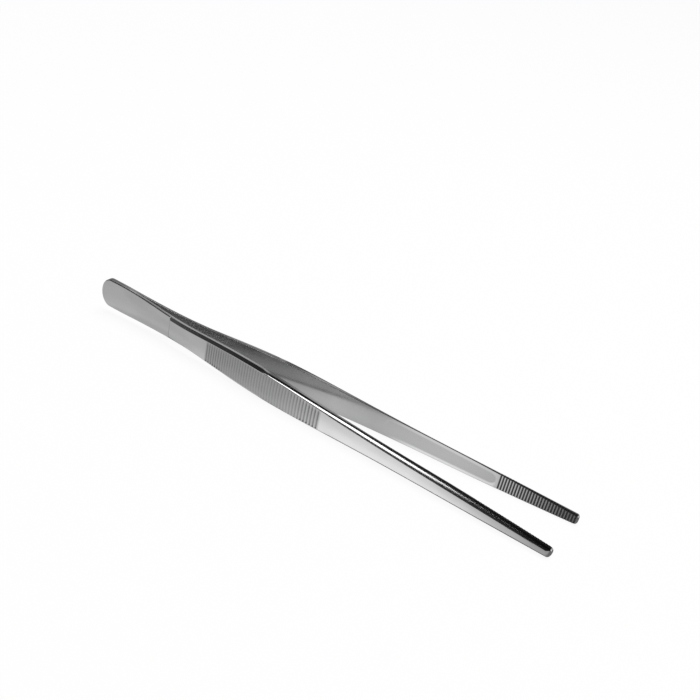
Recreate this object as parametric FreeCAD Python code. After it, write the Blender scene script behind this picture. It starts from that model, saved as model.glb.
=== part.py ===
import FreeCAD, Part
import math
import os

V = FreeCAD.Vector
os.makedirs("parts", exist_ok=True)

# A pair of plain thumb forceps: two spring arms welded face to face at the tail.
# Each arm is drawn with its length along X, its inner face towards the closing
# plane Y = 0 and its width centred on Z = 0. The second arm is the mirror image.
# Last of all both arms are laid down as they come to rest on a table. All in mm.

# Overall
length = 200.0            # rounded tail to the ends of the tips
weld_length = 13.0        # tail length over which the arms are welded together

# Width of an arm, seen square to its outer face
tail_width = 11.5         # widest place of the tail plate
tail_round = 4.3          # how far the rounded end of the tail reaches in
tail_widest = 9.0         # where the tail is widest, from the tail end
neck_width = 9.1          # narrow place behind the grip
neck_at = 39.0
grip_start_width = 10.05  # where the cross ribs begin
grip_width = 11.4         # widest place of the grip
grip_at = 80.0
grip_end_width = 9.75     # where the cross ribs end
shank_width = 8.05        # slim shank between grip and jaw
shank_at = 132.0
jaw_width = 6.0           # where the serrations begin
tip_width = 3.2           # at the tip, before its corners are rounded
tip_round = 1.4           # corner radius of the tip, seen on its face

# Opening between the inner faces, arms at rest
neck_gap = 2.8            # at the neck
grip_start_gap = 4.5      # where the cross ribs begin
grip_gap = 8.1            # at the widest place of the grip
shank_gap = 14.9          # at the shank
jaw_gap = 18.2            # where the serrations begin
tip_gap = 20.4            # at the tip ends

# Thickness of one arm
tail_thick = 1.2          # over the welded tail, where both faces are flat
spring_thick = 1.3        # at the end of the thin spring plate
shoulder_at = 35.5        # step where the thicker forged arm begins
neck_thick = 1.75         # just past the step
grip_start_thick = 2.3    # where the cross ribs begin
grip_thick = 2.55         # at the widest place of the grip
shank_thick = 2.15        # at the shank
jaw_thick = 2.45          # where the serrations begin
tip_thick = 2.7           # at the tip
tip_nose = 1.6            # rounding of the outer corner of the tip, seen from the side

# Bevels along both long edges of the outer face, from the step to the tip:
# how far each one reaches in across the face
neck_bevel = 1.1
grip_bevel = 0.55
shank_bevel = 1.1
jaw_bevel = 1.2
tip_bevel = 0.6
# and the flat edge left between the bevel and the inner face
neck_edge = 1.08
grip_edge = 0.95
shank_edge = 0.85
tip_edge = 0.95
tail_soften = 0.25        # small chamfer round the outer face of the tail plate

# Cross ribs of the grip, on the outer face
rib_start = 55.3          # first groove, from the tail end
rib_count = 43
rib_first_pitch = 1.105   # spacing of the grooves at the tail side
rib_last_pitch = 1.39     # spacing at the tip side
rib_depth = 0.18
rib_land = 0.3            # flat top left between two grooves

# Cross serrations of the jaw, on the inner face
jaw_length = 28.8         # from the first groove to the tip end
tooth_pitch = 1.025
tooth_depth = 0.3
tooth_land = 0.25         # flat top left between two grooves
tip_plain = 1.0           # plain piece at the very end

# Shallow hollow in the inner face, behind the serrations
hollow_depth = 0.12
hollow_length = 44.0
hollow_back = 1.2         # land left between the hollow and the first groove
hollow_land = 0.95        # land left along each side of the hollow

# Clearances of the cutting shapes only, not sizes of the object
over = 3.0                # how far a cutting shape stands outside the metal


def spline(stations, first_slope=None):
    """Smooth curve through (x, value) pairs: cubic pieces joined with equal slope and bend.

    The second derivatives m of the pieces solve one row per inner station,
    h0 m0 + 2 (h0 + h1) m1 + h1 m2 = 6 (d1 - d0), where h are the spacings and d the
    chord slopes. The ends are free, or the first one has a given slope."""
    xs = [p[0] for p in stations]
    ys = [p[1] for p in stations]
    n = len(xs)
    h = [xs[i + 1] - xs[i] for i in range(n - 1)]
    d = [(ys[i + 1] - ys[i]) / h[i] for i in range(n - 1)]
    low = [0.0] * n
    mid = [1.0] * n
    top = [0.0] * n
    rhs = [0.0] * n
    if first_slope is not None:
        mid[0] = 2.0 * h[0]
        top[0] = h[0]
        rhs[0] = 6.0 * (d[0] - first_slope)
    for i in range(1, n - 1):
        low[i] = h[i - 1]
        mid[i] = 2.0 * (h[i - 1] + h[i])
        top[i] = h[i]
        rhs[i] = 6.0 * (d[i] - d[i - 1])
    for i in range(1, n):
        k = low[i] / mid[i - 1]
        mid[i] -= k * top[i - 1]
        rhs[i] -= k * rhs[i - 1]
    m = [0.0] * n
    m[n - 1] = rhs[n - 1] / mid[n - 1]
    for i in range(n - 2, -1, -1):
        m[i] = (rhs[i] - top[i] * m[i + 1]) / mid[i]

    def value(x):
        i = 0
        while i < n - 2 and x > xs[i + 1]:
            i += 1
        a = (xs[i + 1] - x) / h[i]
        b = 1.0 - a
        bend = (a ** 3 - a) * m[i] + (b ** 3 - b) * m[i + 1]
        return a * ys[i] + b * ys[i + 1] + bend * h[i] ** 2 / 6.0

    return value


jaw_at = length - jaw_length
rib_end = rib_start + (rib_count - 1) * (rib_first_pitch + rib_last_pitch) / 2.0

half_width = spline([
    (tail_widest, tail_width / 2.0),
    (neck_at, neck_width / 2.0),
    (rib_start, grip_start_width / 2.0),
    (grip_at, grip_width / 2.0),
    (rib_end, grip_end_width / 2.0),
    (shank_at, shank_width / 2.0),
    (jaw_at, jaw_width / 2.0),
    (length, tip_width / 2.0),
], 0.0)

opening = spline([
    (weld_length, 0.0),
    (neck_at, neck_gap / 2.0),
    (rib_start, grip_start_gap / 2.0),
    (grip_at, grip_gap / 2.0),
    (shank_at, shank_gap / 2.0),
    (jaw_at, jaw_gap / 2.0),
    (length, tip_gap / 2.0),
], 0.0)

forged = spline([
    (shoulder_at, neck_thick),
    (rib_start, grip_start_thick),
    (grip_at, grip_thick),
    (shank_at, shank_thick),
    (jaw_at, jaw_thick),
    (length, tip_thick),
])

bevel_width = spline([
    (shoulder_at, neck_bevel),
    (grip_at, grip_bevel),
    (shank_at, shank_bevel),
    (jaw_at, jaw_bevel),
    (length, tip_bevel),
])

flat_edge = spline([
    (shoulder_at, neck_edge),
    (grip_at, grip_edge),
    (shank_at, shank_edge),
    (length, tip_edge),
])


def inner(x):
    """Distance of the inner face from the closing plane."""
    return 0.0 if x <= weld_length else opening(x)


def spring(x):
    """Thickness of the tail plate: even over the weld, then an even taper to the step."""
    u = max(0.0, (x - weld_length) / (shoulder_at - weld_length))
    return tail_thick + (spring_thick - tail_thick) * u


def outer(x):
    """Distance of the outer face from the closing plane, past the step."""
    return inner(x) + forged(x)


def steps(x0, x1, count):
    """Evenly spaced stations from x0 to x1."""
    return [x0 + (x1 - x0) * i / (count - 1.0) for i in range(count)]


def curve(points):
    """Smooth edge through the points."""
    line = Part.BSplineCurve()
    line.interpolate(points)
    return line.toShape()


def solid_along_z(edges, half):
    """Outline in the XY plane, made solid on both sides of Z = 0."""
    face = Part.Face(Part.Wire(edges))
    face.translate(V(0, 0, -half))
    return face.extrude(V(0, 0, 2.0 * half))


def side_view():
    """The arm seen from above its edge: inner curve, tip, outer curve, step and tail plate."""
    reach = length + over
    nose = length - tip_nose
    face_in = V(weld_length, 0, 0)
    inside = curve([V(x, inner(x), 0) for x in steps(weld_length, length, 24)])
    tip_in = V(length, inner(length), 0)
    tip_mid = V(length, outer(nose) - tip_nose, 0)
    tip_arc = V(nose + tip_nose * math.sin(math.pi / 4), outer(nose) - tip_nose * (1 - math.cos(math.pi / 4)), 0)
    tip_out = V(nose, outer(nose), 0)
    outside = curve([V(x, outer(x), 0) for x in steps(nose, shoulder_at, 24)])
    step_top = V(shoulder_at, outer(shoulder_at), 0)
    step_low = V(shoulder_at, inner(shoulder_at) + spring(shoulder_at), 0)
    plate = curve([V(x, inner(x) + spring(x), 0) for x in steps(shoulder_at, weld_length, 9)])
    weld_out = V(weld_length, spring(weld_length), 0)
    tail_out = V(0, tail_thick, 0)
    edges = [
        Part.makeLine(V(0, 0, 0), face_in),
        inside,
        Part.makeLine(tip_in, tip_mid),
        Part.Arc(tip_mid, tip_arc, tip_out).toShape(),
        outside,
        Part.makeLine(step_top, step_low),
        plate,
        Part.makeLine(weld_out, tail_out),
        Part.makeLine(tail_out, V(0, 0, 0)),
    ]
    return solid_along_z(edges, tail_width + grip_width)


def front_view():
    """The arm seen square to its outer face: elliptic tail, waisted outline, rounded tip."""
    round_top = V(tail_round, 0, half_width(tail_widest))
    flank = [V(x, 0, half_width(x)) for x in steps(tail_widest, length - tip_round, 30)]
    end = flank[-1]
    slope = (half_width(length) - half_width(length - 1.0)) / 1.0
    corner = V(length, 0, end.z - tip_round + slope * tip_round)
    bulge = V(length - tip_round * (1 - math.sin(math.pi / 4)), 0,
              end.z - tip_round * (1 - math.cos(math.pi / 4)) + slope * tip_round * 0.7)
    tail = [V(tail_round * (1 - math.cos(a)), 0, round_top.z * math.sin(a))
            for a in steps(-math.pi / 2, math.pi / 2, 13)]
    low = [V(p.x, 0, -p.z) for p in flank]
    edges = [
        curve(tail),
        Part.makeLine(round_top, flank[0]),
        curve(flank),
        Part.Arc(end, bulge, corner).toShape(),
        Part.makeLine(corner, V(corner.x, 0, -corner.z)),
        Part.Arc(V(corner.x, 0, -corner.z), V(bulge.x, 0, -bulge.z), low[-1]).toShape(),
        curve(low[::-1]),
        Part.makeLine(low[0], V(round_top.x, 0, -round_top.z)),
    ]
    face = Part.Face(Part.Wire(edges))
    face.translate(V(0, -over, 0))
    return face.extrude(V(0, tip_gap + grip_gap + over, 0))


def bevel_cutter():
    """Wedge that takes off the upper long edge of the outer face.

    At every station the wedge is a triangle whose long side runs through the place
    where the flat edge ends and through the place where the outer face ends."""
    wires = []
    for x in steps(shoulder_at, length + 2.0, 18):
        y_edge = inner(x) + flat_edge(x)
        z_edge = half_width(x)
        y_face = outer(x)
        z_face = half_width(x) - bevel_width(x)
        run = math.hypot(y_face - y_edge, z_face - z_edge)
        uy = (y_face - y_edge) / run
        uz = (z_face - z_edge) / run
        a = V(x, y_edge - uy, z_edge - uz)
        b = V(x, y_face + uy, z_face + uz)
        c = V(x, b.y + over, a.z + over)
        wires.append(Part.makePolygon([a, b, c, a]))
    return Part.makeLoft(wires, True, False)


def comb(places, face, depth, half_open, out):
    """One long cutting shape with a row of V teeth that dip into a curved face."""
    row = []
    for x, half in zip(places, half_open):
        row.append(V(x - half, face(x - half) + 0.02 * out, 0))
        row.append(V(x, face(x) - depth * out, 0))
        row.append(V(x + half, face(x + half) + 0.02 * out, 0))
    far = over * out
    row.append(V(row[-1].x, row[-1].y + far, 0))
    row.append(V(row[0].x, row[0].y + far, 0))
    row.append(row[0])
    wire = Part.makePolygon(row)
    face_shape = Part.Face(wire)
    face_shape.translate(V(0, 0, -grip_width))
    return face_shape.extrude(V(0, 0, 2.0 * grip_width))


def rib_comb():
    """Cross grooves of the grip; their spacing grows evenly towards the tips."""
    grow = (rib_last_pitch - rib_first_pitch) / (rib_count - 1.0)
    places = [rib_start + i * rib_first_pitch + grow * i * i / 2.0 for i in range(rib_count)]
    halves = [(rib_first_pitch + grow * i - rib_land) / 2.0 for i in range(rib_count)]
    return comb(places, outer, rib_depth, halves, 1.0)


def tooth_comb():
    """Cross grooves of the jaw, evenly spaced from the jaw root to the plain tip end."""
    count = int((jaw_length - tip_plain) / tooth_pitch) + 1
    places = [jaw_at + i * tooth_pitch for i in range(count)]
    return comb(places, inner, tooth_depth, [(tooth_pitch - tooth_land) / 2.0] * count, -1.0)


def hollow_cutter():
    """Shallow hollow with round ends that follows the inner face and narrows with the arm."""
    x1 = jaw_at - hollow_back
    x0 = x1 - hollow_length
    floor = [V(x, inner(x) + hollow_depth, 0) for x in steps(x0 - 1.0, x1 + 1.0, 12)]
    low = [V(x, inner(x) - over, 0) for x in (x1 + 1.0, x0 - 1.0)]
    slab = solid_along_z([
        curve(floor),
        Part.makeLine(floor[-1], low[0]),
        Part.makeLine(low[0], low[1]),
        Part.makeLine(low[1], floor[0]),
    ], grip_width)
    r0 = half_width(x0) - hollow_land
    r1 = half_width(x1) - hollow_land
    upper = [V(x, 0, half_width(x) - hollow_land) for x in steps(x0 + r0, x1 - r1, 10)]
    lower = [V(p.x, 0, -p.z) for p in upper]
    face = Part.Face(Part.Wire([
        curve(upper),
        Part.Arc(upper[-1], V(x1, 0, 0), lower[-1]).toShape(),
        curve(lower[::-1]),
        Part.Arc(lower[0], V(x0, 0, 0), upper[0]).toShape(),
    ]))
    face.translate(V(0, -over, 0))
    return slab.common(face.extrude(V(0, tip_gap + over, 0)))


def tail_softened(shape):
    """Small chamfer along the edges where the tail plate's outer face meets its sides."""
    picked = []
    for edge in shape.Edges:
        box = edge.BoundBox
        middle = edge.valueAt((edge.FirstParameter + edge.LastParameter) / 2.0)
        level = inner(middle.x) + spring(middle.x)
        if box.XMax < shoulder_at + 0.01 and box.XLength > 0.5 and abs(middle.y - level) < 0.02:
            picked.append(edge)
    return shape.makeChamfer(tail_soften, picked)


def arm():
    """One arm on the positive side of the closing plane."""
    body = tail_softened(side_view().common(front_view()))
    wedge = bevel_cutter()
    other = wedge.mirror(V(0, 0, 0), V(0, 0, 1))
    body = body.cut(wedge).cut(other)
    body = body.cut(hollow_cutter())
    body = body.cut(rib_comb())
    body = body.cut(tooth_comb())
    return body.Solids[0]


def rest_angle():
    """Angle by which the forceps tip forward on a table, in degrees.

    They lie on the widest place of the grip and on the lower corners of the tips: the
    table is the steepest line from the tip corner to the lower outline of the arm."""
    x_tip = length - tip_round
    w_tip = half_width(x_tip)
    slopes = [(half_width(x) - w_tip) / (x_tip - x) for x in steps(neck_at, shank_at, 400)]
    return math.degrees(math.atan(max(slopes)))


# Laid down, with the middle of the length over the origin and the table at Z = 0
rear = arm()
rear.rotate(V(0, 0, 0), V(0, 1, 0), rest_angle())
box = rear.optimalBoundingBox(False)
rear.translate(V(-(box.XMin + box.XMax) / 2.0, 0, -box.ZMin))
front = rear.mirror(V(0, 0, 0), V(0, 1, 0))

rear.exportStep("parts/rear_arm.step")
front.exportStep("parts/front_arm.step")
print("tilt at rest, degrees:", round(rest_angle(), 3))
print("one arm: volume", round(rear.Volume, 1), "valid", rear.isValid(), "faces", len(rear.Faces))
print("moved by", round(-(box.XMin + box.XMax) / 2.0, 4), round(-box.ZMin, 4))
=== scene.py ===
# %% [markdown]
# # Thumb forceps on a pale table
#
# Two mirrored spring arms, welded together at a flat tail, lie on their narrow edges. The
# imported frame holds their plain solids, and this lesson wraps each arm in one closed
# surface with what cutting and polishing leave: soft corners, cross ribs on the grip,
# cross serrations in the jaw and a lengthwise grain. Lengths are in mm while the surface
# is worked out, and in metres in every mesh, material and lamp.

# %% The frame
import math
from collections import namedtuple

import bpy
import numpy as np
from mathutils import Matrix


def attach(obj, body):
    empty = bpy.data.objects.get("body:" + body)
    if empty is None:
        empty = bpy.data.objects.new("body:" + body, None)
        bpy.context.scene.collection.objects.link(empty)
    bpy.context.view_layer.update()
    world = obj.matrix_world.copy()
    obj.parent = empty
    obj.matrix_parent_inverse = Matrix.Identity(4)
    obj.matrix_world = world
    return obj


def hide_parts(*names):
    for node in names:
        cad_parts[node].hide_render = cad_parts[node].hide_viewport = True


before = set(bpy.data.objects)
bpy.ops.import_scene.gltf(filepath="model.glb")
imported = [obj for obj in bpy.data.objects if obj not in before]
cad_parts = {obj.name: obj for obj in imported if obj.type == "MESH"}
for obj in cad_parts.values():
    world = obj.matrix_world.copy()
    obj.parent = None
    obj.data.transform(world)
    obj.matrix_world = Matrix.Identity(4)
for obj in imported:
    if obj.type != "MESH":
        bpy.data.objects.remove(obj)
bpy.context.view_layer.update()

# %% [markdown]
# ## Sizes of an arm
#
# An arm is worked out with its length along X from the tail's end, its inner face towards
# the closing plane Y = 0 and its width across Z. The sizes are those of the solids, so
# that the surface covers them without standing out of their box.

# %% Sizes
length = 200.0            # rounded tail to the ends of the tips
weld_length = 13.0        # tail length over which the arms touch
tail_reach = 4.3          # how far the rounded end of the tail reaches in
tail_widest = 9.0         # where the tail is widest
tail_half = 5.75          # half the tail's width
tail_thick = 1.2          # tail plate over the weld
spring_thick = 1.3        # tail plate at its end
tail_soften = 0.25        # small chamfer round the outer face of the tail plate
step_at = 35.5            # where the thicker forged arm begins
neck_at = 39.0            # narrow place behind the grip
rib_start = 55.3          # first groove of the grip
grip_at = 80.0            # widest place of the grip
shank_at = 132.0          # slim shank between grip and jaw
jaw_at = 171.2            # first serration of the jaw
tip_round = 1.4           # corner radius of the tip, seen on its face
nose_round = 2.2          # outer corner of the tip, seen from the side
rib_count = 43
rib_first_pitch = 1.105   # spacing of the ribs at the tail side
rib_last_pitch = 1.39     # spacing at the tip side
rib_end = rib_start + (rib_count - 1) * (rib_first_pitch + rib_last_pitch) / 2
print(length, "mm long, ribs from", rib_start, "to", round(rib_end, 3))

# %% [markdown]
# ## Smooth curves through named places
#
# Width, opening and thickness change slowly from the tail to the tips. Straight pieces
# would show as kinks in polished steel, so each size is a natural cubic spline through a
# few places, the same curve as in the solids.


# %% Splines along the arm
def spline(points, slope=None):
    """Natural cubic spline through (x, value) pairs.

    The second derivatives m solve h0 m0 + 2 (h0 + h1) m1 + h1 m2 = 6 (d1 - d0) in every
    inner place, with h the gaps and d the chord slopes; the first end may have a given
    slope. Between two places the value is u y0 + v y1 + ((u^3 - u) m0 + (v^3 - v) m1) h^2 / 6,
    where u falls from 1 to 0 and v = 1 - u."""
    x, y = (np.array(column, float) for column in zip(*points))
    gap = np.diff(x)
    chord = np.diff(y) / gap
    matrix = np.eye(len(x))
    jump = np.zeros(len(x))
    if slope is not None:
        matrix[0, :2] = 2 * gap[0], gap[0]
        jump[0] = 6 * (chord[0] - slope)
    inner = np.arange(1, len(x) - 1)
    matrix[inner, inner - 1] = gap[:-1]
    matrix[inner, inner] = 2 * (gap[:-1] + gap[1:])
    matrix[inner, inner + 1] = gap[1:]
    jump[inner] = 6 * np.diff(chord)
    second = np.linalg.solve(matrix, jump)

    def value(t):
        i = np.clip(np.searchsorted(x, t) - 1, 0, len(x) - 2)
        u = (x[i + 1] - t) / gap[i]
        v = 1 - u
        bend = (u**3 - u) * second[i] + (v**3 - v) * second[i + 1]
        return u * y[i] + v * y[i + 1] + bend * gap[i] ** 2 / 6

    return value


half_width = spline([(tail_widest, tail_half), (neck_at, 4.55), (rib_start, 5.025), (grip_at, 5.7),
                     (rib_end, 4.875), (shank_at, 4.025), (jaw_at, 3.0), (length, 1.6)], 0.0)
opening = spline([(weld_length, 0), (neck_at, 1.4), (rib_start, 2.25), (grip_at, 4.05),
                  (shank_at, 7.45), (jaw_at, 9.1), (length, 10.2)], 0.0)
forged_thick = spline([(step_at, 1.75), (rib_start, 2.3), (grip_at, 2.55), (shank_at, 2.15),
                       (jaw_at, 2.45), (length, 2.7)])
bevel_width = spline([(step_at, 1.1), (grip_at, 0.55), (shank_at, 1.1), (jaw_at, 1.2), (length, 0.6)])
flat_edge = spline([(step_at, 1.08), (grip_at, 0.95), (shank_at, 0.85), (length, 0.95)])
print("grip", 2 * half_width(grip_at), "mm wide; jaw opens", 2 * opening(jaw_at), "mm")

# %% [markdown]
# ## Gradual changes
#
# Nothing on a polished arm begins at once. Three small helpers say how it begins: a
# straight rise for a rounding or a mark, an eased one where the surface itself climbs, and
# a maximum with its crease rounded, for everything that is cut into the steel.


# %% Rise, ease and rounded maximum
def rise(x, start, end):
    """0 before start, 1 after end and straight between: (x - start) / (end - start)."""
    return np.clip((x - start) / (end - start), 0, 1)


def ease(u):
    """Step from 0 to 1 with level ends: u^2 (3 - 2 u)."""
    return u * u * (3 - 2 * u)


def smooth_max(a, b, span):
    """The larger of a and b, plus (span - |a - b|)^2 / (4 span) where they are closer than span."""
    return np.maximum(a, b) + np.maximum(span - np.abs(a - b), 0) ** 2 / (4 * span)


print("a quarter of the way up the eased step:", ease(rise(1.0, 0.0, 4.0)))

# %% [markdown]
# ## Grooves
#
# The ribs of the grip and the serrations of the jaw are rows of V grooves. Their spacing
# is even in the jaw and grows slowly along the grip. As a cutting wheel and polishing
# leave them, the bottom of a groove and the corners at its mouth are a little soft. A row
# is a depth over the surface, so that one mesh can carry it without a cut.

# %% Groove rows
rib_depth = 0.18
rib_land = 0.3            # flat top left between two ribs
tooth_depth = 0.3
tooth_pitch = 1.025
tooth_land = 0.25         # flat top left between two serrations
tip_plain = 1.0           # plain piece at the very end of the jaw

steps = np.arange(rib_count)
rib_growth = (rib_last_pitch - rib_first_pitch) / (rib_count - 1)
rib_places = rib_start + rib_first_pitch * steps + rib_growth * steps**2 / 2
rib_halves = (rib_first_pitch + rib_growth * steps - rib_land) / 2
tooth_places = np.arange(jaw_at, length - tip_plain, tooth_pitch)
tooth_halves = np.full(len(tooth_places), (tooth_pitch - tooth_land) / 2)


def grooves(x, places, halves, depth, soft):
    """Depth at x of the nearest V groove: depth (1 - |x - c| / half), rounded over the length
    soft at its bottom and mouth, and 0 further away than half + soft."""
    i = np.rint(np.interp(x, places, np.arange(len(places)))).astype(int)
    offset = x - places[i]
    away = np.sqrt(offset**2 + soft**2) - soft / 2
    cut = smooth_max(depth * (1 - away / halves[i]), 0.0, soft)
    return cut * (np.abs(offset) < halves[i] + soft)


print(len(rib_places), "ribs and", len(tooth_places), "serrations")

# %% [markdown]
# ## Hollow
#
# Behind the serrations the inner face has a long shallow hollow with round ends, so that
# only the jaw's own faces meet. It is ground, and the wheel leaves a soft rim: an eased
# step over the way in from the hollow's outline.

# %% Hollow
hollow_depth = 0.12
hollow_length = 44.0
hollow_back = 1.2         # land left between the hollow and the first serration
hollow_land = 0.95        # land left along each side of it


def hollow(x, z):
    """Depth of the hollow: an eased step over the way in from an outline with round ends.

    The way in is half_width - land - |z| between the ends, and r - distance to the middle of
    the round end at either end, with r the half width less the land there."""
    end = jaw_at - hollow_back
    start = end - hollow_length
    start_round = half_width(start) - hollow_land
    end_round = half_width(end) - hollow_land
    inside = half_width(x) - hollow_land - np.abs(z)
    at_start = start_round - np.hypot(x - start - start_round, z)
    at_end = end_round - np.hypot(x - end + end_round, z)
    inside = np.where(x < start + start_round, at_start, inside)
    inside = np.where(x > end - end_round, at_end, inside)
    return hollow_depth * ease(rise(inside, -0.3, 0.5))


print("hollow is", hollow(150.0, 0.0), "mm deep in its middle")

# %% [markdown]
# ## The outline as a walk
#
# A point walks along the upper half of the outline: round the elliptic tail, along the
# flank, round the tip's corner and over the short flat end. At each place it knows the
# inward direction and a target on the centre line, so that rows of points run from the
# outline inwards without crossing. The walk is in mm, and 0 where the flank begins.

# %% Outline walk
tail_walk = 8.0           # share of the walk that the rounded tail takes
corner_walk = 2.2         # and the corner of the tip
end_walk = 0.3            # and the flat end
turn_at = 188.0           # from here the rows turn towards the corner's own direction
tail_spread = 2.6         # how far the targets of the tail's rows lie apart
lean = math.atan(-(half_width(length) - half_width(length - 1.0)))
flank_end = length - tip_round * (1 - math.sin(lean))
corner_z = float(half_width(flank_end)) - tip_round * math.cos(lean)
flank_walk = flank_end - tail_reach
corner_stop = flank_walk + corner_walk


def outline(q):
    """Place, inward direction and centre target for the walk q, as x, z, dx, dz and target x.

    Tail: (a - a cos f, b sin f) with the inward direction (b cos f, -a sin f). Flank: (x, w(x)),
    inward straight down and then turned by the slope of w. Corner: a quarter circle about
    (length - r, corner_z). End: straight down to z = 0. The targets move a little all the
    way, so that no two rows end in one point."""
    f = (1 + q / tail_walk) * math.pi / 2
    x = tail_reach + q
    past = np.maximum(x, tail_widest)
    width = np.where(x < tail_widest, tail_half, half_width(past))
    slope = (half_width(past + 0.01) - half_width(past - 0.01)) / 0.02
    slope = np.where(x < tail_widest, 0, slope)
    turned = ease(rise(x, turn_at, flank_end))
    share = rise(q, flank_walk, corner_stop)
    g = lean + (math.pi / 2 - lean) * share
    over = q - corner_stop
    none = 0 * q
    tail = (tail_reach * (1 - np.cos(f)), tail_half * np.sin(f),
            tail_half * np.cos(f), -tail_reach * np.sin(f), tail_reach - tail_spread * np.cos(f))
    flank = (x, width, slope * turned, none - 1, x - 0.6 * turned)
    corner = (length - tip_round * (1 - np.sin(g)), corner_z + tip_round * np.cos(g),
              -np.sin(g), -np.cos(g), flank_end - 0.6 + 0.55 * share)
    end = (none + length, corner_z * (1 - over / end_walk), none - 1, none, flank_end - 0.05 + over / 3)
    where = [q < 0, q < flank_walk, q < corner_stop, q >= corner_stop]
    px, pz, dx, dz, target = (np.select(where, column) for column in zip(tail, flank, corner, end))
    size = np.hypot(dx, dz)
    return px, pz, dx / size, dz / size, target


print("outline walk from", -tail_walk, "to", round(corner_stop + end_walk, 2))

# %% [markdown]
# ## Sizes of the section
#
# Across the arm a second walk goes from the middle of the inner face to the outline, up
# the narrow edge, over the bevel and on to the middle of the outer face. Its sizes change
# along the arm: a thin plate over the weld, a step, and the forged arm past it. They are
# worked out once for each station and handed on together.

# %% Sizes of the section
Size = namedtuple("Size", "thick edge wide crowned slope")


def sizes(x):
    """Thickness, height of the flat edge, bevel width, share of crowning and slope of the edge.

    Past the tail plate each size goes to the forged arm's value over an eased step of 0.8 mm."""
    past = np.maximum(x, step_at)
    grown = ease(rise(x, step_at - 0.4, step_at + 0.4))
    plate = tail_thick + (spring_thick - tail_thick) * rise(x, weld_length, step_at)
    thick = plate + (forged_thick(past) - plate) * grown
    edge = (plate - tail_soften) + (flat_edge(past) - plate + tail_soften) * grown
    wide = tail_soften + (bevel_width(past) - tail_soften) * grown
    crowned = ease(rise(x, grip_at, grip_at + 4))
    degrees = np.interp(x, [weld_length, 19, 33, 37, grip_at], [0, 3.5, 3.5, 3, 3])
    return Size(thick, edge, wide, crowned, np.tan(np.radians(degrees)))


print("thickness, edge and bevel at the shank:", np.round(sizes(np.array(shank_at))[:3], 3))

# %% [markdown]
# ## Plain and crowned edge
#
# On the real arm the long edge is a plain chamfer from the tail to the grip, and from
# there to the tip grinding has crowned it: a narrow flat runs into a wide rounding. Five
# places describe either edge, and the share of crowning blends them, so that the rows
# stay the same all along the arm.

# %% Edges
foot_soft = 0.12          # rounding at the foot of the chamfer
top_soft = 0.08           # rounding where the chamfer meets the face


def plain_edge(size):
    """Five places (way in, height) of the chamfered edge: half way up the leaning edge, the
    start, corner and end of the bevel's rounded foot, and the start of its rounded top."""
    thick, edge, wide, _, slope = size
    reach, climb = wide - edge * slope, thick - edge
    run = np.hypot(reach, climb)
    foot = np.minimum(foot_soft, 0.4 * run) / run
    top = np.minimum(top_soft, 0.3 * run) / run
    return [
        (0.15 * edge * slope, 0.5 * edge),
        ((edge - foot_soft) * slope, edge - foot_soft),
        (edge * slope, edge),
        (edge * slope + reach * foot, edge + climb * foot),
        (wide - reach * top, thick - climb * top),
    ]


def crowned_edge(x, size, rim):
    """The same five places where the edge is crowned: half way up the upright edge, the start
    and corner of one wide rounding, its end where a narrow flat begins, and the flat's end.

    The flat leans 40 degrees from upright, and the corner is where its line meets the edge."""
    lean_in = math.tan(math.radians(40))
    height = (0.42 + 0.2 * rise(x, 100, 118)) * np.minimum(size.wide, 1.0)
    flat = np.interp(x, [84, 104, 122, 145, 165], [0.06, 0.12, 0.2, 0.08, 0.04])
    flat_in = size.wide - (height + flat) * lean_in
    flat_up = size.thick - height - flat
    corner = flat_up - flat_in / lean_in
    start = np.clip(corner - 0.4, rim + 0.2, rim + 0.75)
    upright = 0 * x
    return [
        (upright, (rim + start) / 2),
        (upright, start),
        (upright, corner),
        (flat_in, flat_up),
        (size.wide - height * lean_in, size.thick - height),
    ]


print("foot of the chamfer at the neck:", np.round(plain_edge(sizes(np.array(neck_at)))[2], 3))
print("corner of the crowned edge at the shank:",
      np.round(crowned_edge(shank_at, sizes(np.array(shank_at)), 0.07)[2], 3))

# %% [markdown]
# ## Rows across the arm
#
# Each row has a name and a place on one piece of the section, from 0 at its beginning to 1
# at its end. Rows lie close together where the section bends, and the same rows run from
# the tail to the tip, so the mesh is one grid.

# %% Rows
rows = {
    "inner face": np.array([0.0, 0.13, 0.26, 0.39, 0.52, 0.65, 0.78, 0.9]),
    "hollow rim": np.array([0.0, 0.25, 0.5, 0.75]),
    "inner land": np.array([0.0, 0.5]),
    "inner corner": np.array([0.0, 0.25, 0.5, 0.75]),
    "edge": np.array([0.0, 0.25, 0.5, 0.75]),
    "bevel foot": np.array([0.0, 0.12, 0.25, 0.38, 0.52, 0.68, 0.84]),
    "bevel": np.array([0.0, 0.5]),
    "bevel top": np.array([0.0, 0.15, 0.3, 0.45, 0.6, 0.8]),
    "outer land": np.array([0.0]),
    "outer face": np.array([0.0, 0.25, 0.5, 0.75, 1.0]),
}
rim_end = 0.84            # way in to where the rows over the hollow's rim end
least_inset = 1.06        # least way in to where the rows turn to their targets
print(sum(map(len, rows.values())), "rows across half an arm")

# %% [markdown]
# ## The section as a line with soft corners
#
# A piece of the section is straight between two points, or a short parabola that rounds
# the corner between its neighbours. A parabola leaves and meets its neighbours in their
# own directions, so the polished edge has no crease where they join.


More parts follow.
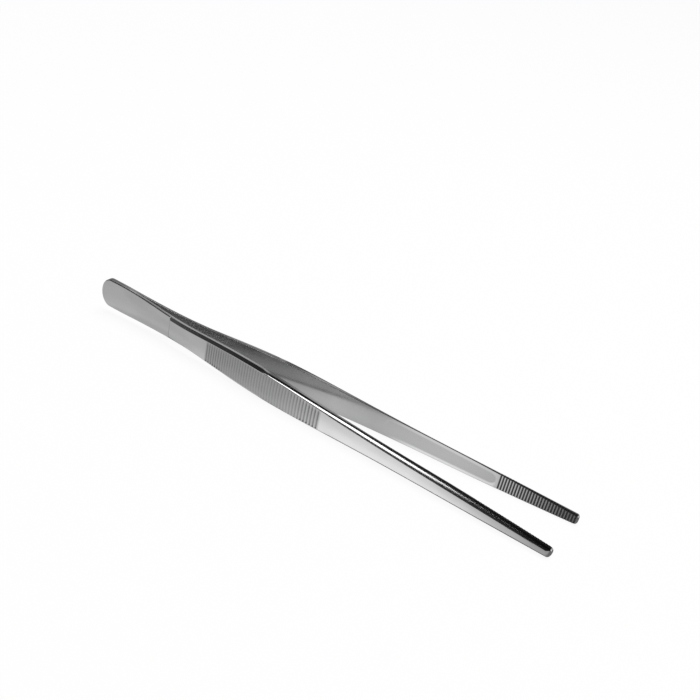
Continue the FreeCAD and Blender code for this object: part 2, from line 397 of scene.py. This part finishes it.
# %% Section
def section(x, size, inset, span, shift):
    """Way in from the outline and height over the inner face of every row at the places x.

    The faces begin at the way in inset and are span wide. Straight pieces are (1 - u) P + u Q
    and corners (1 - u)^2 P + 2 u (1 - u) C + u^2 Q; shift moves u in every piece."""
    thick, wide = size.thick, size.wide
    none = 0 * x
    rim = 0.07 + 0.16 * rise(x, 160, 175)                          # rounding of the inner corner
    fall = 0.05 * size.crowned * (1 - rise(x, 145, 165))           # slope of the crowned edge's foot
    land = 0.06 + 0.1 * size.crowned + 0.14 * rise(x, 100, 118)    # where the top's rounding ends
    plain = plain_edge(size)
    crown = crowned_edge(x, size, rim)
    drop = fall * (crown[0][1] - rim)
    middle, foot, bend, flat, top = (
        tuple(a + (b - a) * size.crowned for a, b in zip(*pair)) for pair in zip(plain, crown))
    path = [
        ("inner face", (inset + span, none), (inset, none)),
        ("hollow rim", (inset, none), (rim_end + none, none)),
        ("inner land", (rim_end + none, none), (drop + rim * (1 + fall), none)),
        ("inner corner", (drop + rim * (1 + fall), none), (drop + rim * fall, none), (drop, rim)),
        ("edge", (drop, rim), middle, foot),
        ("bevel foot", foot, bend, flat),
        ("bevel", flat, top),
        ("bevel top", top, (wide, thick), (wide + land, thick)),
        ("outer land", (wide + land, thick), (inset, thick)),
        ("outer face", (inset, thick), (inset + span, thick)),
    ]
    pieces = []
    for name, *points in path:
        u = rows[name][None, :] + shift
        if len(points) == 2:
            weights = [1 - u, u]
        else:
            weights = [(1 - u) ** 2, 2 * u * (1 - u), u**2]
        pieces.append([sum(w * point[k] for w, point in zip(weights, points)) for k in (0, 1)])
    way_in, height = (np.concatenate(columns, 1) for columns in zip(*pieces))
    return way_in, height


shank_here = np.array([[shank_at]])
shank_line = section(shank_here, sizes(shank_here), least_inset + 0.29, 2.7, 0.0)
print("the shank's section is", round(float(np.max(shank_line[1])), 3), "mm high")

# %% [markdown]
# ## What cutting and grinding take away
#
# The grooves, the hollow and the rounded nose limit the height of the finished section, as
# a wheel takes steel away. So they need no cut in the mesh, and they follow the curved
# faces by themselves. A very small slope is left wherever the height is limited, so that
# rows don't fall together.

# %% Worked height
rib_soft = 0.12           # rounding of a rib's bottom and mouth
tooth_soft = 0.05         # and of a serration's
roof_soft = 0.03          # rounding where a limit begins
keep_apart = 0.002        # the small slope


def worked(x, z, way_in, y, size):
    """Height y lowered to the ribs and the nose, and raised to the serrations and the hollow.

    The nose is the height of a quarter circle of radius nose_round at the tip's end. Also
    gives the depths of rib, serration and hollow at each point."""
    rib = grooves(x, rib_places, rib_halves, rib_depth, rib_soft) * rise(way_in - size.wide, 0.1, 0.4)
    into_nose = np.maximum(x - length + nose_round, 0)
    nose = size.thick - nose_round + np.sqrt(np.maximum(nose_round**2 - into_nose**2, 0))
    roof = np.minimum(size.thick - rib, nose)
    y = -smooth_max(-y, -roof, roof_soft) + keep_apart * np.maximum(y - roof, 0)
    tooth = grooves(x, tooth_places, tooth_halves, tooth_depth, tooth_soft)
    dip = hollow(x, z)
    y = np.maximum(y, np.maximum(tooth, dip) + keep_apart * y)
    return y, rib, tooth, dip


print("the outer face is rounded over the last", nose_round, "mm")

# %% [markdown]
# ## Marks for the finish and the painted shade
#
# Different finishes meet on one piece of steel, and some places carry painted shade or a
# painted highlight in their colour, so the points themselves say how much of each they
# have. The material reads these marks by name, and they stay with the surface from every side.


# %% Marks
def finish_and_shade_marks(x, way_in, wide, outer, rib, tooth, dip):
    """Marks from 0 to 1 that the steel reads, on the outer face or on the inner one.

    ribbed: the ribbed field; groove and tooth: how deep in a groove, where the colour is
    darkened as painted shade; ground: the hollow and the face on its tail side; blunt: the
    inner side of the jaw's end, darkened as painted shade; border: the land beside the hollow,
    whose lower strip is brightened as a painted highlight; raw: inner faces that the polishing
    wheel doesn't reach, near the weld and at the tips."""
    inner = ~outer
    first, last = rib_places[[0, -1]]
    field = np.interp(x, [first - 0.6, first - 0.45, last + 0.6, last + 0.75], [0, 1, 1, 0])
    tail_side = np.interp(x, [106, 122, 128, 142], [0, 1, 1, 0])
    beside = np.interp(x, [128, 140, jaw_at - 2, jaw_at - 1], [0, 1, 1, 0])
    unreached = np.interp(x, [38, 58, 174, 194], [1, 0, 0, 0.5])
    return {
        "ribbed": field * rise(way_in - wide, 0.05, 0.15) * outer,
        "groove": rib / rib_depth * outer,
        "tooth": tooth / tooth_depth * inner,
        "ground": np.maximum(dip / hollow_depth, tail_side) * inner,
        "tip_shade": rise(x, 178, 196) * inner,
        "border": (1 - dip / hollow_depth) * inner * (way_in > 0.25) * beside,
        "raw": unreached * rise(way_in, 0.1, 0.2) * inner,
    }


print("marks:", ", ".join(finish_and_shade_marks(50.0, 1.0, 0.5, np.array(True), 0.0, 0.0, 0.0)))

# %% [markdown]
# ## One surface for half an arm
#
# The outline and the section together give every point, and the arm's opening lifts it off
# the closing plane. The whole upper half is one function of the walk and the rows, which
# also makes true normals easy to get.


# %% Surface
def surface(q, shift=0.0):
    """Points of the upper half of an arm and their marks: walk q along the outline, rows across.

    A row goes from the outline along the inward direction as far as inset, and from there
    straight to the target on the centre line."""
    px, pz, dx, dz, target = (column[:, None] for column in outline(q))
    size = sizes(px)
    inset = np.maximum(size.wide + 0.25, least_inset)
    span = np.hypot(target - px - dx * inset, pz + dz * inset)
    way_in, height = section(px, size, inset, span, shift)
    near = np.minimum(way_in, inset)
    far = np.maximum(way_in - inset, 0) / span
    x = px + dx * near + (target - px - dx * inset) * far
    z = (pz + dz * near) - (pz + dz * inset) * far
    y, rib, tooth, dip = worked(x, z, way_in, height, size)
    marks = finish_and_shade_marks(x, way_in, size.wide, y > 0.5 * size.thick, rib, tooth, dip)
    seat = np.where(x < weld_length, 0, opening(np.maximum(x, weld_length)))
    return np.stack([x, y + seat, z], -1), marks


print("one station has", surface(np.array([50.0]))[0].shape[1], "points")

# %% [markdown]
# ## Where the stations stand
#
# Stations are close together where something small happens: on the tail curve, at the
# step, over every groove, at the round ends of the hollow and on the tip. Over a groove
# they stand on both sides of its bottom, on its flanks and on both sides of the corners at
# its mouth, at shares of its half width.

# %% Stations
over_groove = np.array([-1.12, -0.94, -0.6, -0.12, 0.12, 0.6, 0.94, 1.12])
rib_stations = (rib_places[:, None] + rib_halves[:, None] * over_groove).ravel()
tooth_stations = (tooth_places[:, None] + tooth_halves[:, None] * over_groove).ravel()
stations = np.concatenate([
    np.arange(tail_reach + 0.6, step_at - 0.7, 1.1),   # tail plate
    step_at + np.linspace(-0.45, 0.45, 19),            # step
    np.arange(step_at + 0.8, rib_start - 0.7, 1.0),    # neck
    rib_stations,
    np.arange(109.0, 125.6, 1.0),                      # shank
    np.arange(125.8, 129.6, 0.2),                      # hollow's end on the tail side
    np.arange(130.0, 166.6, 1.2),                      # hollow
    np.arange(166.9, 170.6, 0.2),                      # hollow's end on the jaw side
    tooth_stations,
    np.array([length - 0.7]),                          # plain end of the jaw
])
stations = stations[stations < flank_end - 0.05]
walk = np.concatenate([
    np.linspace(-tail_walk, 0, 25),
    stations - tail_reach,
    flank_walk + corner_walk * np.linspace(0, 1, 17),
    corner_stop + end_walk * np.array([0.5, 1.0]),
])
print(len(walk), "stations of", sum(map(len, rows.values())), "points")

# %% [markdown]
# ## Normals from the formula
#
# Polished steel shows every unevenness of its normals, and faces over narrow grooves give
# rough ones. The formula itself gives the true normal: the cross product of two small
# steps, one along the walk and one across the rows. At a few points of the rounded ends a
# row stands still and has none. There it takes the sum of its neighbours' normals, turned
# a little outwards.

# %% Points and normals
walk_step = 0.003         # mm
row_step = 0.004          # share of a piece
upper, upper_marks = surface(walk)
count, across = upper.shape[:2]
along_walk = surface(walk + walk_step)[0] - surface(walk - walk_step)[0]
across_rows = surface(walk, row_step)[0] - surface(walk, -row_step)[0]
normal = np.cross(across_rows, along_walk)
normal /= np.maximum(np.linalg.norm(normal, axis=-1, keepdims=True), 1e-12)
if normal[count // 2, -1, 1] < 0:
    normal = -normal
still = np.linalg.norm(normal, axis=-1, keepdims=True) < 0.5
inward_x, inward_z = outline(walk)[2:4]
outwards = np.stack([-inward_x, 0 * walk, -inward_z], -1)[:, None]
beside_it = np.roll(normal, 1, 1) + np.roll(normal, -1, 1)
normal = np.where(still, beside_it + 0.1 * outwards, normal)
still_at = np.unique(upper[still[..., 0], 0].round(2))
print(int(still.sum()), "of", count * across, "points take their neighbours' normals, at x =", still_at)

# %% [markdown]
# ## Closing the surface
#
# The lower half of an arm is the mirror image of the upper half, and the two share the
# points of the seam all round: the first and the last station, and the middle rows of both
# faces. Those points are put exactly in the middle plane.


# %% Whole arm
def quads(i, flip):
    """Four-cornered faces between neighbouring stations and rows of a grid of indices."""
    corners = [i[:-1, :-1], i[1:, :-1], i[1:, 1:], i[:-1, 1:]]
    return np.stack(corners[::-1] if flip else corners, -1).reshape(-1, 4)


on_seam = np.zeros((count, across), bool)
on_seam[[0, -1]] = True
on_seam[:, [0, -1]] = True
upper[on_seam, 2] = 0.0
normal[on_seam, 2] = 0.0
normal /= np.linalg.norm(normal, axis=-1, keepdims=True)

upper_index = np.arange(count * across).reshape(count, across)
lower_index = upper_index.size + np.cumsum(~on_seam.ravel()).reshape(count, across) - 1
lower_index = np.where(on_seam, upper_index, lower_index)
mirrored = np.array([1, 1, -1])
points = np.concatenate([upper.reshape(-1, 3), (upper * mirrored)[~on_seam]])
normals = np.concatenate([normal.reshape(-1, 3), (normal * mirrored)[~on_seam]])
marks = {name: np.concatenate([mark.ravel(), mark[~on_seam]]) for name, mark in upper_marks.items()}
faces = np.concatenate([quads(upper_index, False), quads(lower_index, True)])
first, second, third = (points[faces[0, k]] for k in (0, 1, 2))
if np.cross(second - first, third - first) @ normals[faces[0, 0]] <= 0:
    faces = faces[:, ::-1]
print(len(points), "points and", len(faces), "faces")

# %% [markdown]
# ## Laying the arm down
#
# Put on a table, the forceps tip forward until the widest place of the grip and the lower
# corner of the tip both touch it. The arm is turned about the Y axis by that angle and
# moved so that the middle of its length is over the origin, as the solids are. It is then
# drawn in by a few thousandths of a millimetre at most, to stay inside their box.

# %% Lying on the table
draw_in = (0.99999, 0.9997, 0.99998)


def rest_angle():
    """Angle whose tangent is the steepest slope from the tip's corner to the grip's outline:
    the largest (half_width(x) - half_width(tip)) / (tip - x) between neck and shank."""
    tip = length - tip_round
    x = np.linspace(neck_at, shank_at, 400)
    return math.atan(np.max((half_width(x) - half_width(tip)) / (tip - x)))


def lay_down(p, moved):
    """Turn about Y by the rest angle, (x c + z s, y, z c - x s), then move in x and z."""
    c, s = math.cos(tilt), math.sin(tilt)
    x = p[..., 0] * c + p[..., 2] * s + moved[0]
    z = p[..., 2] * c - p[..., 0] * s + moved[1]
    return np.stack([x, p[..., 1], z], -1)


tilt = rest_angle()
laid = lay_down(points, (0, 0))
moved = (-(laid[:, 0].min() + laid[:, 0].max()) / 2, -laid[:, 2].min())
laid = lay_down(points, moved) * draw_in
laid_normals = lay_down(normals, (0, 0))
print("tilt", round(math.degrees(tilt), 3), "degrees, moved by", moved)

# %% [markdown]
# ## Writing a material as formulas
#
# Two small classes let shader maths be written like ordinary Python. A Value is one output
# of a node, and adding or multiplying it makes the node for it. Every other node comes
# from one method that takes the node's type, its settings and its inputs.


# %% Formulas for materials
class Value:
    """One output of a node, with arithmetic that adds Math nodes."""

    def __init__(self, nodes, socket):
        self.nodes = nodes
        self.socket = socket

    def math(self, operation, other):
        """A Math node of that operation on this value and the other one."""
        return self.nodes.add("ShaderNodeMath", {"operation": operation}, {0: self, 1: other})

    def __add__(self, other):
        return self.math("ADD", other)

    def __sub__(self, other):
        return self.math("SUBTRACT", other)

    def __mul__(self, other):
        return self.math("MULTIPLY", other)

    def __rsub__(self, other):
        return (self * -1.0) + other

    __radd__ = __add__
    __rmul__ = __mul__

    def smooth(self, low, high):
        """0 below low and 1 above high, with a soft rise between them."""
        return self.nodes.add("ShaderNodeMapRange", {"interpolation_type": "SMOOTHSTEP"},
                              {"Value": self, "From Min": low, "From Max": high})


class Nodes:
    """The emptied node tree of a material or a world."""

    def __init__(self, owner):
        owner.use_nodes = True
        self.tree = owner.node_tree
        self.tree.nodes.clear()

    def add(self, kind, settings=None, inputs=None, output=0):
        """New node of that type; inputs may be numbers, colours or Values. Gives one output."""
        made = self.tree.nodes.new(kind)
        for key, value in (settings or {}).items():
            setattr(made, key, value)
        for key, value in (inputs or {}).items():
            if isinstance(value, Value):
                self.tree.links.new(value.socket, made.inputs[key])
            else:
                made.inputs[key].default_value = value
        return Value(self, made.outputs[output]) if made.outputs else None

    def mix(self, share, colour, other):
        """Colour that goes to the other one as the share goes from 0 to 1."""
        return self.add("ShaderNodeMix", {"data_type": "RGBA"}, {0: share, 6: colour, 7: other}, 2)

    def parts(self, vector):
        """The x, y and z of a vector."""
        split = self.add("ShaderNodeSeparateXYZ", {}, {0: vector}).socket.node
        return [Value(self, socket) for socket in split.outputs]


print("operators for shader maths: + - * and smooth(low, high)")

# %% [markdown]
# ## The grain of polished steel
#
# The arms are polished lengthwise, so their finest marks run along X: noise that is
# stretched far along the arm and very fine across it, with a few hairlines that cross it
# at a slant. A cloudier noise stands for the uneven pressure of the wheel. Object
# coordinates keep the grain on the steel from every side.

# %% Grain
steel = bpy.data.materials.new("steel")
steel_nodes = Nodes(steel)
on_arm = steel_nodes.add("ShaderNodeTexCoord", output="Object")


def stretched(along, across, turn=0.0, detail=3.0, seed=0.0):
    """Noise with a grain 1/along metres long and 1/across wide, turned about Z."""
    turned = steel_nodes.add("ShaderNodeMapping", {}, {
        "Vector": on_arm, "Rotation": (0, 0, turn), "Location": (seed, seed, 0),
        "Scale": (along, across, across)})
    return steel_nodes.add("ShaderNodeTexNoise", {"noise_dimensions": "3D"},
                           {"Vector": turned, "Scale": 1.0, "Detail": detail, "Roughness": 0.6})


grain = stretched(90, 6000)
streak = stretched(25, 1500, seed=3.0)
cloud = stretched(60, 160, detail=2.0)
hair = (stretched(110, 9000, 0.35, 1.0, 7.0).smooth(0.70, 0.78)
        + stretched(90, 8000, -0.6, 1.0, 11.0).smooth(0.71, 0.79))
print(len(steel_nodes.tree.nodes), "nodes of grain")

# %% [markdown]
# ## Where the steel is dull
#
# The arms are one steel, and what differs from place to place is how far the polishing
# wheel reached. The marks on the points say where: the grooves of ribs and serrations are
# duller, the hollow is ground a little duller than the land beside it, and the inner faces
# stay dull near the weld and at the tips. The same marks also say where the colour carries
# painted shade or a painted highlight. So one material serves the whole arm.


# %% Roughness and bump
def mark(name):
    """A mark from 0 to 1 that the arm's points carry."""
    return steel_nodes.add("ShaderNodeAttribute", {"attribute_name": name}, output="Fac")


ribbed, groove, tooth = mark("ribbed"), mark("groove"), mark("tooth")
ground, border, raw, tip_shade = mark("ground"), mark("border"), mark("raw"), mark("tip_shade")
polish = 0.13             # roughness of the best polished faces
deep = tooth.smooth(0.0, 0.55)
fine = (0.05 * (grain - 0.5) + 0.06 * (streak - 0.5) + 0.10 * hair) * (1.0 - 0.8 * raw)
roughness = (polish + fine + 0.06 * (cloud - 0.5) + 0.25 * deep + 0.11 * ribbed
             + 0.06 * ground + 0.20 * raw)
height = (grain * 0.6 + streak * 0.4 - hair * 0.3) * (1.0 - 0.85 * raw)
bumped = steel_nodes.add("ShaderNodeBump", {}, {"Height": height, "Strength": 0.006, "Distance": 0.00002})
print(len(steel_nodes.tree.nodes), "nodes with roughness and bump")

# %% [markdown]
# ## The tone of the steel
#
# Steel has hardly any colour, but its tone changes with the finish, and some of it is painted
# light. The ribs read as dark lines between pale ones, painted shade in their grooves. It is
# strongest at both ends of the grip and on its upper half, and faint in the middle. The hollow
# is darker than the land beside it, whose lower strip carries a painted highlight. The
# serrations carry painted shade, and the inner side of the jaw darkens towards the tip as
# painted shade too.

# %% Colour
polished_dark = (0.61, 0.61, 0.615, 1)
polished_pale = (0.67, 0.67, 0.675, 1)
hollow_tone = (0.51, 0.51, 0.515, 1)
# painted highlight: the lower land beside the hollow is brightened to this tone
painted_land_highlight = (0.86, 0.86, 0.865, 1)
plain_land = (0.65, 0.65, 0.655, 1)
# painted shade: these three tones darken the rib grooves, the jaw's end and the serrations
rib_groove_shade = (0.16, 0.16, 0.163, 1)
tip_shade_tone = (0.30, 0.30, 0.303, 1)
serration_shade = (0.09, 0.09, 0.092, 1)

mix = steel_nodes.mix
from_middle, _, over_table = steel_nodes.parts(on_arm)
patchy = ((cloud - 0.5) * 1.6 + 0.5).smooth(0.2, 0.8)
faces_tone = mix(ground, mix(patchy, polished_dark, polished_pale), hollow_tone)
# painted highlight: the land beside the hollow is brighter on its lower strip, near the table
land_tone = mix(over_table.smooth(0.0025, 0.0045), painted_land_highlight, plain_land)
polished = mix(border, faces_tone, land_tone)
# painted shade in the rib grooves: strongest at both ends of the grip and on its upper half, faint in the
# middle
rib_shade_strength = 1.2 - 0.8 * from_middle.smooth(-0.045, -0.033) + 0.9 * from_middle.smooth(-0.012, 0.004)
rib_shade_strength = rib_shade_strength + 0.3 * over_table.smooth(0.005, 0.008) + 0.8 * (cloud - 0.5)
cut = 0.72 + 0.55 * (groove - 0.5) * rib_shade_strength
steel_tone_with_painted_shade = mix(ribbed * cut * (0.85 + 0.5 * (cloud - 0.5)), polished, rib_groove_shade)
# painted shade: the inner side of the jaw's end is darkened towards the tip
steel_tone_with_painted_shade = mix(tip_shade * (1.0 + 0.8 * (cloud - 0.5)), steel_tone_with_painted_shade, tip_shade_tone)
# painted shade: the serrations' colour goes to the darkest tone with their depth
steel_shader = steel_nodes.add("ShaderNodeBsdfPrincipled", {}, {
    "Base Color": mix(deep, steel_tone_with_painted_shade, serration_shade), "Metallic": 1.0 - 0.45 * raw,
    "Roughness": roughness, "Normal": bumped})
steel_nodes.add("ShaderNodeOutputMaterial", {}, {"Surface": steel_shader})
print("steel has", len(steel_nodes.tree.nodes), "nodes")

# %% [markdown]
# ## The two arms
#
# Each arm is made as its own piece, and the front one is the mirror image of the rear one
# across the closing plane. Each stands for its own solid of the frame.


# %% Arms
def arm(name, side, material):
    """Mesh of one arm; side 1 is the rear one and -1 its mirror image across Y = 0."""
    flip = np.array([1, side, 1])
    mesh = bpy.data.meshes.new(name)
    turned = faces if side > 0 else faces[:, ::-1]
    mesh.from_pydata((laid * flip / 1000).tolist(), [], turned.tolist())
    mesh.polygons.foreach_set("use_smooth", np.ones(len(turned), bool))
    for key, value in marks.items():
        attribute = mesh.attributes.new(key, "FLOAT", "POINT")
        attribute.data.foreach_set("value", value.astype(np.float32))
    mesh.update()
    mesh.normals_split_custom_set_from_vertices((laid_normals * flip).tolist())
    obj = bpy.data.objects.new(name, mesh)
    bpy.context.scene.collection.objects.link(obj)
    mesh.materials.append(material)
    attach(obj, "root")
    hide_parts(name.replace("_skin", ""))
    print(name, len(turned), "faces")


arm("rear_arm_skin", 1, steel)
arm("front_arm_skin", -1, steel)

# %% [markdown]
# ## Table
#
# The table is a pale plane. What the camera sees of it is nearly white, with a faint soft
# shadow. What the steel shows of it is painted light: a painted pool of light close in front
# of the forceps, and painted shadow under and between the arms and far away from them, where
# the forceps and the room would keep the light off. A glow for all rays but the camera's
# paints it, by the way along the forceps and the way before a parabola that follows the
# outer face of the front arm.

# %% Table
paper = bpy.data.materials.new("table")
table_nodes = Nodes(paper)
camera_ray = table_nodes.add("ShaderNodeLightPath", output="Is Camera Ray")
glossy_ray = table_nodes.add("ShaderNodeLightPath", output="Is Glossy Ray")
x, y, _ = table_nodes.parts(table_nodes.add("ShaderNodeTexCoord", output="Object"))
bow, slant, offset = 0.132, 0.0659, 0.00763    # outer face: y = bow x^2 - slant x - offset
before = bow * x * x - slant * x - offset - y
before_inner = before + 0.0013 + 0.0013 * x.smooth(-0.067, -0.063)
in_front = before.smooth(-0.0002, 0.0022)
under_arm = before_inner.smooth(-0.0012, 0.0) - in_front
between = (0.45 + 0.40 * x.smooth(-0.03, 0.06)) * (1.0 - before_inner.smooth(-0.0008, 0.0))
crosswise = (between + (0.5 - 0.3 * x.smooth(-0.06, -0.03)) * under_arm
             + (1.12 - 0.32 * before.smooth(0.002, 0.011)) * in_front)
crosswise = crosswise * (1.0 - 0.93 * before.smooth(0.02, 0.055))
# painted shadow and light in the glow: near the tail a dark band close to the arm with a paler one beyond
# it, near the jaw a brighter fringe close to the arm
by_tail = 1.0 - x.smooth(-0.07, -0.05)
belt = 0.10 * (1.0 - before.smooth(0.0085, 0.016)) - 0.27 * (1.0 - before.smooth(0.0055, 0.0085))
by_jaw = x.smooth(0.035, 0.075)
fringe = 0.24 - 0.30 * before.smooth(0.0015, 0.0065)
crosswise = crosswise * (1.0 + by_tail * belt) * (1.0 + by_jaw * fringe)
lengthwise = (0.62 + 0.48 * x.smooth(-0.08, 0.035)) * (1.0 - 0.87 * x.smooth(0.03, 0.12))
pool = lengthwise * crosswise * (1.0 - camera_ray) + camera_ray

matt = table_nodes.add("ShaderNodeBsdfDiffuse", {}, {"Color": (0.86, 0.86, 0.86, 1)})
glow = table_nodes.add("ShaderNodeEmission", {}, {"Color": (1, 1, 1, 1), "Strength": pool})
glowing = camera_ray * 0.93 + glossy_ray * 0.85
mixed = table_nodes.add("ShaderNodeMixShader", {}, {0: glowing, 1: matt, 2: glow})
table_nodes.add("ShaderNodeOutputMaterial", {}, {"Surface": mixed})

reach = 4                 # metres
plane = bpy.data.meshes.new("table")
plane.from_pydata([(-reach, -reach, 0), (reach, -reach, 0), (reach, reach, 0), (-reach, reach, 0)],
                  [], [(0, 1, 2, 3)])
plane.materials.append(paper)
floor = bpy.data.objects.new("table", plane)
bpy.context.scene.collection.objects.link(floor)
print("table of", 2 * reach, "metres with", len(table_nodes.tree.nodes), "nodes")

# %% [markdown]
# ## Studio
#
# Polished steel shows the room around it. Behind the forceps stands a grey wall. On the
# left it is bright above the height of the table and dark towards the ceiling, with one
# dark gap that darkens a stretch of the long edge, and on the right it is dim. A low
# bright panel behind on the right adds a glint, and in front on the left there is only a
# faint haze. All of it is one formula over the direction in which a ray leaves, so that
# no panel has to be built, and the camera itself sees plain white.

# %% Studio
world = bpy.data.worlds.new("studio")
bpy.context.scene.world = world
world_nodes = Nodes(world)
side, behind, up = world_nodes.parts(world_nodes.add("ShaderNodeTexCoord", output="Generated"))
leftward = side * -1.0
on_left = leftward.smooth(0.27, 0.32)
above_table = (up + 0.6 * side).smooth(0.20, 0.26)
under_ceiling = 1.0 - up.smooth(0.58, 0.74)
gap = leftward.smooth(0.325, 0.37) * (1.0 - leftward.smooth(0.402, 0.422))
left_wall = (0.20 + 0.38 * above_table) * (1.0 - 0.82 * gap) * under_ceiling
right_wall = 0.08 * under_ceiling + 0.22 * (1.0 - up.smooth(0.1, 0.55))
wall = (left_wall * on_left + right_wall * (1.0 - on_left)) * behind.smooth(0.05, 0.35)
glint = 1.1 * side.smooth(0.42, 0.50) * behind.smooth(0.55, 0.65) * (1.0 - up.smooth(0.42, 0.52))
haze = ((0.085 - 0.045 * up.smooth(0.45, 0.80)) * leftward.smooth(0.10, 0.40)
        * (1.0 - behind.smooth(0.10, 0.45)))
dimmest = 0.006           # what the darkest direction still gives
seen = world_nodes.add("ShaderNodeLightPath", output="Is Camera Ray")
level = (wall + glint + haze + dimmest).math("MAXIMUM", seen)
sky = world_nodes.add("ShaderNodeBackground", {}, {"Color": (1, 1, 1, 1), "Strength": level})
world_nodes.add("ShaderNodeOutputWorld", {}, {"Surface": sky})
print("studio has", len(world_nodes.tree.nodes), "nodes")

# %% [markdown]
# ## Lamps
#
# A soft key lamp in front, on the left and high up lights the outer face. A wide lamp
# overhead fills the shadow on the table. It is kept out of the steel's reflections, where
# it would outshine the studio.


# %% Lamps
def lamp(name, place, target, size, watts):
    """Soft rectangular lamp at a place in metres, turned towards its target."""
    light = bpy.data.lights.new(name, "AREA")
    light.shape = "RECTANGLE"
    light.size, light.size_y = size
    light.energy = watts
    obj = bpy.data.objects.new(name, light)
    bpy.context.scene.collection.objects.link(obj)
    away = np.array(place, float) - np.array(target, float)
    away = away / np.linalg.norm(away)
    right = np.cross((0, 0, 1), away)
    right = right / np.linalg.norm(right)
    stand = np.eye(4)
    stand[:3, :3] = np.stack([right, np.cross(away, right), away], 1)
    stand[:3, 3] = place
    obj.matrix_world = Matrix(stand.tolist())
    print(name, "lamp at", np.round(place, 3))
    return obj


aim = np.array([0.02, 0.0, 0.0])
key_height, key_turn = math.radians(56), math.radians(-41.5)
to_key = np.array([
    math.sin(key_turn) * math.cos(key_height),
    -math.cos(key_turn) * math.cos(key_height),
    math.sin(key_height),
])
lamp("key", aim + to_key, aim, (0.26, 0.32), 0.65)
over = lamp("over", (0.1, 0.2, 1.4), (0, 0, 0), (0.9, 0.9), 22)
over.visible_glossy = False

# %% [markdown]
# ## Camera
#
# The camera stands in front, to the right and above, and is turned a little about its own
# axis, as in the photograph. Its place follows from where the tail's end appears in the
# picture, how large the length looks there, and the angles.

# %% Camera
azimuth, elevation, roll = (math.radians(v) for v in (26.274, 34.909, 12.808))
picture = 700             # pixels, both ways
scale = 514.531           # pixels that the arm's length would cover at the tail's distance
near = 0.485              # the arm's length as a share of the tail's distance
tail_u, tail_v = 103.57, 287.648    # pixel of the tail's end
axis_u, axis_v = 334.523, 428.213   # pixel that the lens axis meets
sensor = 36.0             # mm
focal = scale / near      # pixels

backward = np.array([
    math.sin(azimuth) * math.cos(elevation),
    -math.cos(azimuth) * math.cos(elevation),
    math.sin(elevation),
])
level_right = np.array([math.cos(azimuth), math.sin(azimuth), 0])
upright = np.cross(backward, level_right)
axes = np.stack([
    math.cos(roll) * level_right + math.sin(roll) * upright,
    -math.sin(roll) * level_right + math.cos(roll) * upright,
    backward,
])
tail_seen = np.array([(tail_u - axis_u) / focal, -(tail_v - axis_v) / focal, -1.0]) / near
pose = np.eye(4)
pose[:3, :3] = lay_down(axes, (0, 0)).T
pose[:3, 3] = lay_down(-axes.T @ tail_seen * length, moved) / 1000

optics = bpy.data.cameras.new("camera")
optics.sensor_width = sensor
optics.lens = focal / picture * sensor
optics.shift_x = ((picture - 1) / 2 - axis_u) / picture
optics.shift_y = (axis_v - (picture - 1) / 2) / picture
optics.clip_start = 0.01
camera = bpy.data.objects.new("camera", optics)
camera.matrix_world = Matrix(pose.tolist())
bpy.context.scene.collection.objects.link(camera)
bpy.context.scene.camera = camera
bpy.context.scene.view_settings.view_transform = "Standard"
print("camera at", pose[:3, 3].round(4), "with a lens of", round(optics.lens, 2), "mm")
